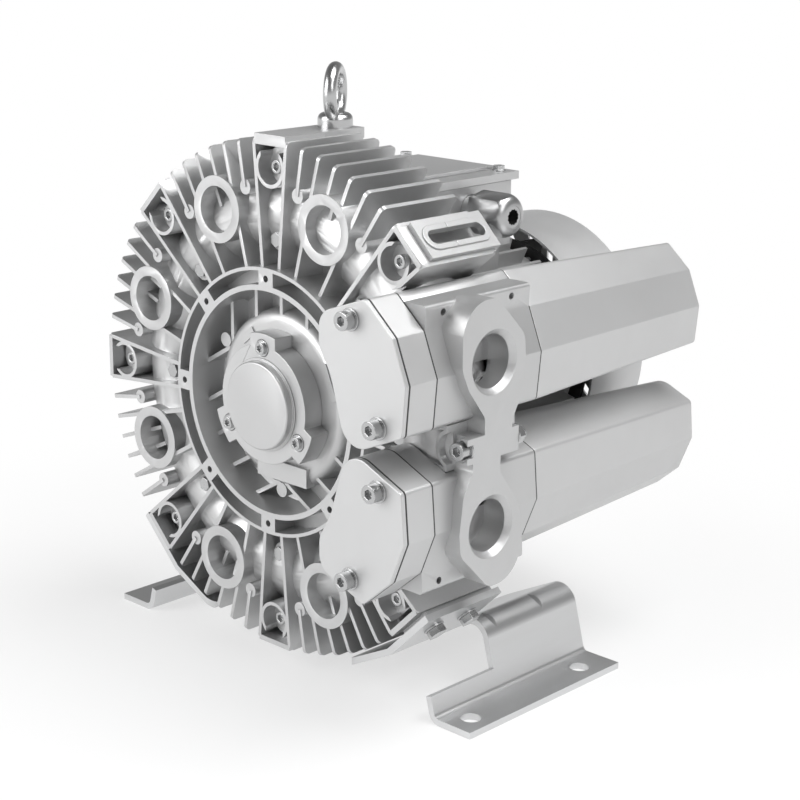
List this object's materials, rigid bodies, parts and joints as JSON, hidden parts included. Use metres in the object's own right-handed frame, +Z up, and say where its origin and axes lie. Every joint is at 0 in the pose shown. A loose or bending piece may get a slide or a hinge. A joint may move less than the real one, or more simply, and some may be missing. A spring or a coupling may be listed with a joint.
{
  "type": "side channel blower",
  "caption": "Silver-grey side channel blower with finned round casing, flanged motor, side ports, angular silencers and two bent sheet foot brackets.",
  "frame": {"origin": "centre of the four foot holes, on the floor", "axes": "+Z up, +X towards the ports, +Y from the ring face towards the motor, along the shaft"},
  "size_m": [0.3814, 0.3736, 0.453],
  "materials": {
    "cast": "satin cast, silver grey",
    "cowl": "satin silver grey",
    "sheet": "bright zinc",
    "zinc": "bright zinc",
    "nickel": "nickel plated, satin",
    "steel": "ground",
    "core": "stacked sheet",
    "copper": "enamelled wire",
    "rubber": "matte",
    "plastic": "matte",
    "foam": "open foam"
  },
  "bodies": {
    "housing": {"bearing_cap": "cast", "bearing_cover": "cast", "bearing_cover_screws": "zinc", "blanking_plug": "nickel", "cable_gland_body": "nickel", "cable_gland_locknut": "nickel", "cable_gland_nut": "nickel", "cable_gland_seal": "rubber", "casing_bolts": "zinc", "channel_plugs": "zinc", "cowl_screws": "zinc", "end_shield_screws": "zinc", "eyebolt": "zinc", "fan_cowl": "cowl", "foot_bolts": "zinc", "front_bearing_outer_race": "steel", "front_casing": "cast", "front_foam_liners": "foam", "left_foot_bracket": "sheet", "lid_bolts": "zinc", "lower_adapter": "cast", "lower_silencer_cover": "cast", "lower_silencer_front": "cast", "lower_silencer_tube": "cast", "motor_flange_screws": "zinc", "motor_housing": "cast", "neck_screw": "zinc", "nuts": "zinc", "port_plate": "cast", "rear_bearing_outer_race": "steel", "rear_casing": "cast", "rear_end_shield": "cast", "rear_foam_liners": "foam", "rear_gaskets": "plastic", "right_foot_bracket": "sheet", "shaft_seals": "rubber", "silencer_gaskets": "plastic", "silencer_screws": "zinc", "stator_core": "core", "stator_windings": "copper", "terminal_board": "plastic", "terminal_box": "cast", "terminal_box_gasket": "plastic", "terminal_box_lid": "cast", "terminal_studs": "nickel", "upper_adapter": "cast", "upper_silencer_cover": "cast", "upper_silencer_front": "cast", "upper_silencer_tube": "cast", "washers": "zinc"},
    "rotor": {"motor_shaft": "steel", "impeller": "cast", "impeller_key": "steel", "spacer_sleeve": "steel", "rotor_core": "core", "cooling_fan": "plastic", "front_bearing_inner_race": "steel", "rear_bearing_inner_race": "steel"},
    "front_cage": {"front_bearing_cage": "steel"},
    "rear_cage": {"rear_bearing_cage": "steel"}
  },
  "joints": [
    {"name": "rotor_spin", "type": "hinge", "parent": "housing", "child": "rotor", "pos_m": [0, 0, 0.21], "axis": [0, 1, 0], "continuous": true},
    {"name": "front_cage_spin", "type": "hinge", "parent": "housing", "child": "front_cage", "pos_m": [0, 0, 0.21], "axis": [0, 1, 0], "continuous": true},
    {"name": "rear_cage_spin", "type": "hinge", "parent": "housing", "child": "rear_cage", "pos_m": [0, 0, 0.21], "axis": [0, 1, 0], "continuous": true}
  ],
  "couplings": [
    {"joint": "front_cage_spin", "follows": "rotor_spin", "ratio": 0.4059},
    {"joint": "rear_cage_spin", "follows": "rotor_spin", "ratio": 0.3961}
  ]
}
